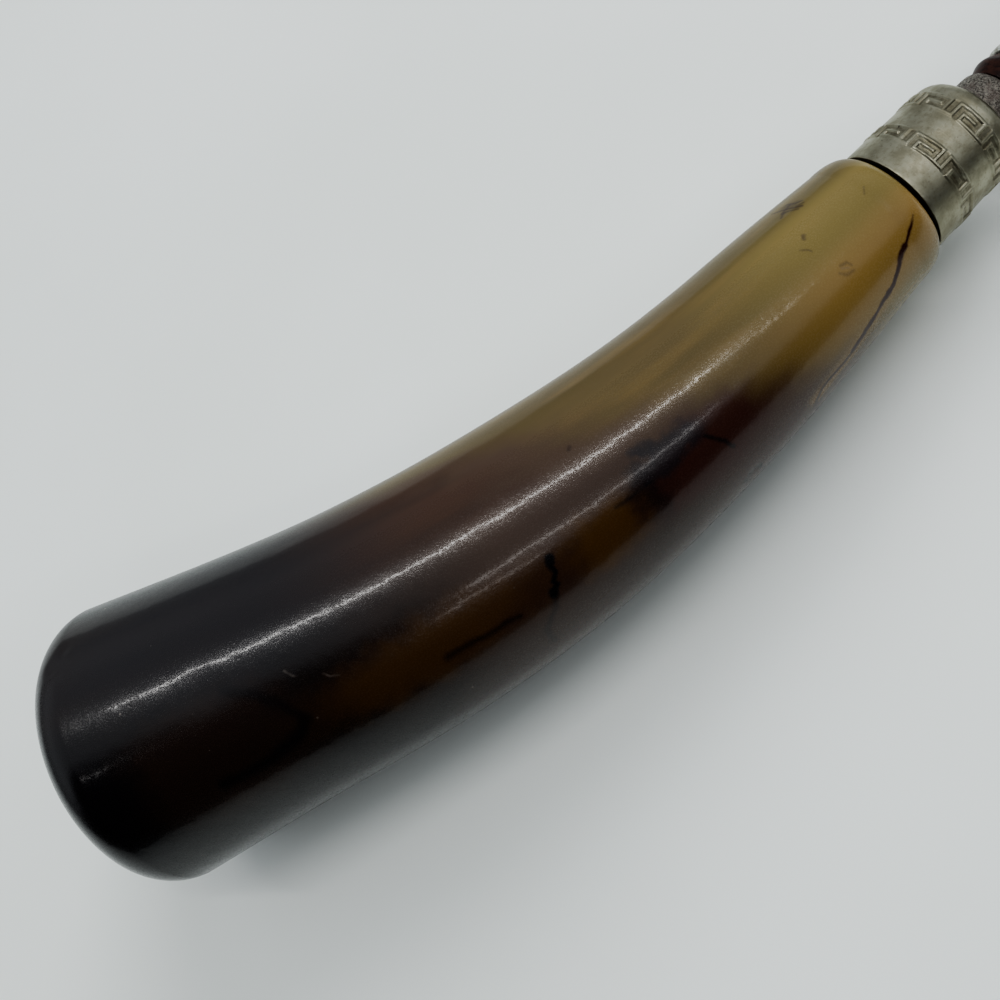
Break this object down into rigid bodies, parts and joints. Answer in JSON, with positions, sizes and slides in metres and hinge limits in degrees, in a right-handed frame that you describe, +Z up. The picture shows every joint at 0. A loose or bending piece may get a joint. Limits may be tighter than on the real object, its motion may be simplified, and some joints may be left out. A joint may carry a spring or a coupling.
{
  "type": "sharpening steel",
  "caption": "Sharpening steel with a curved polished horn handle, a stamped metal collar, a bead and a round guard, lying on its side.",
  "frame": {"origin": "under the centre of the object's box, on the surface that it lies on", "axes": "+X along the length from the butt to the tip of the steel, +Y to the side that the butt bends to, +Z up"},
  "size_m": [0.4532, 0.0662, 0.05],
  "materials": {
    "horn": "polished natural horn, amber at the collar and nearly black at the butt, with fine scratches",
    "nickel_silver": "worn nickel silver with a warm grey tarnish",
    "pitted_steel": "dark old steel, pitted",
    "dark_horn": "polished dark red-brown horn",
    "bright_steel": "turned steel, lightly tarnished",
    "ribbed_steel": "fine ribs along its length, worn grey",
    "cement": "dull dark resin"
  },
  "bodies": {
    "root": {"horn_handle": "horn", "collar": "nickel_silver", "neck": "pitted_steel", "bead": "dark_horn", "guard": "bright_steel", "steel": "ribbed_steel", "tang_cement": "cement"}
  },
  "joints": []
}
